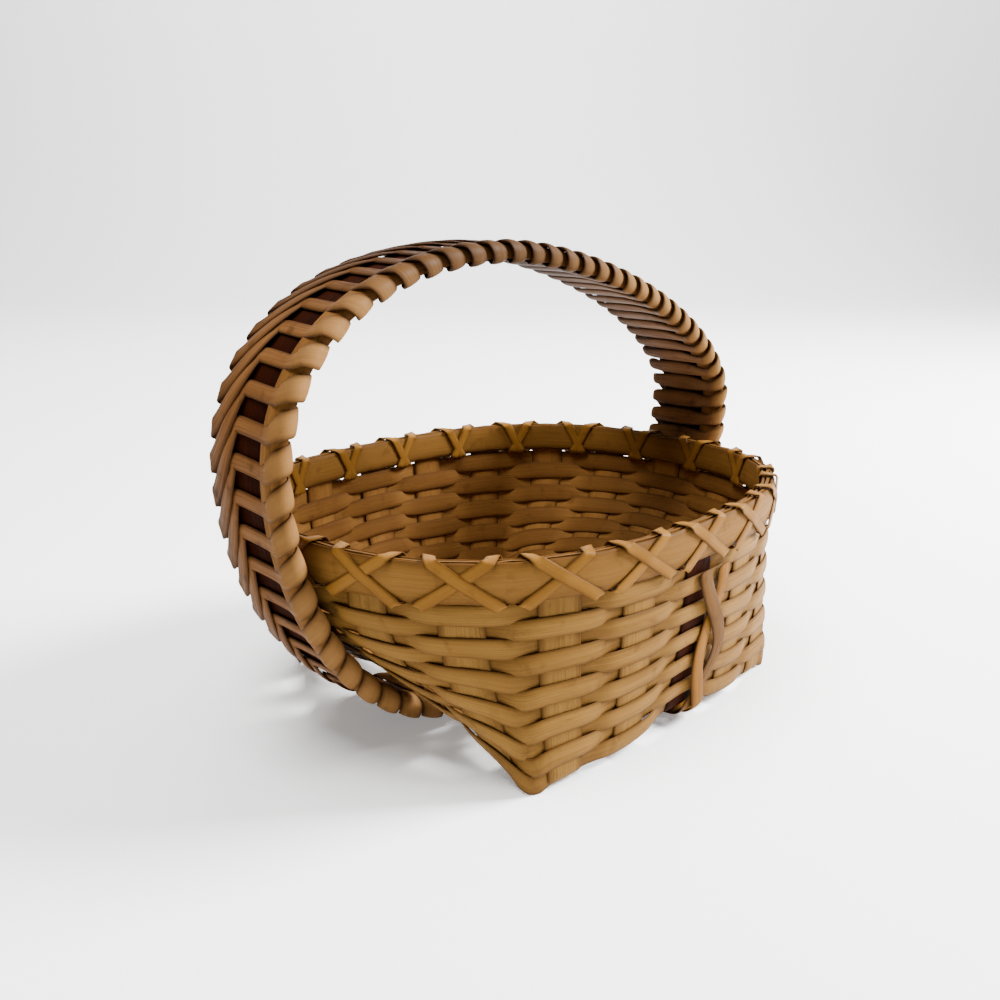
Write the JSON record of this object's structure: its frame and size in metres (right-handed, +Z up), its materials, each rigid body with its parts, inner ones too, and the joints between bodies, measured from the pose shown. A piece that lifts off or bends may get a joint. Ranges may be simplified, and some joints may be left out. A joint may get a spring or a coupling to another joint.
{
  "type": "splint basket",
  "caption": "Square-based splint basket with a round cross-lashed rim, corner feet, a splint-wound hoop handle, and a cross band under the base.",
  "frame": {"origin": "middle of the basket at the level of its feet", "axes": "+X along the basket's length, from one leg of the handle to the other; +Y across it; +Z up"},
  "size_m": [0.2522, 0.1894, 0.174],
  "materials": {
    "upright_splint": "smooth split wood, satin",
    "weaver_splint": "smooth split wood, satin",
    "rim_splint": "smooth split wood, satin",
    "lashing_splint": "thin glossy splint, golden",
    "handle_splint": "thin splint, pinkish tan, satin",
    "dark_core_splint": "dark stained or bark-faced splint, satin"
  },
  "bodies": {
    "root": {"upright_splint_length_1": "upright_splint", "upright_splint_length_2": "upright_splint", "upright_splint_length_3": "upright_splint", "upright_splint_length_4": "upright_splint", "upright_splint_length_5": "upright_splint", "upright_splint_width_1": "upright_splint", "upright_splint_width_2": "upright_splint", "upright_splint_width_4": "upright_splint", "upright_splint_width_5": "upright_splint", "weaver_row_01": "weaver_splint", "weaver_row_02": "weaver_splint", "weaver_row_03": "weaver_splint", "weaver_row_04": "weaver_splint", "weaver_row_05": "weaver_splint", "weaver_row_06": "weaver_splint", "weaver_row_07": "weaver_splint", "weaver_row_08": "weaver_splint", "weaver_row_09": "weaver_splint", "weaver_row_10": "weaver_splint", "weaver_row_11": "weaver_splint", "rim_outer_hoop": "rim_splint", "rim_inner_hoop": "rim_splint", "rim_filler": "rim_splint", "rim_lashing_under": "lashing_splint", "rim_lashing_over": "lashing_splint", "handle_dark_core": "dark_core_splint", "cross_core_splint": "dark_core_splint", "handle_edge_rod": "handle_splint", "handle_winding_1": "handle_splint", "handle_winding_2": "handle_splint", "handle_winding_3": "handle_splint", "cross_braid_1": "handle_splint", "cross_braid_2": "handle_splint"}
  },
  "joints": []
}
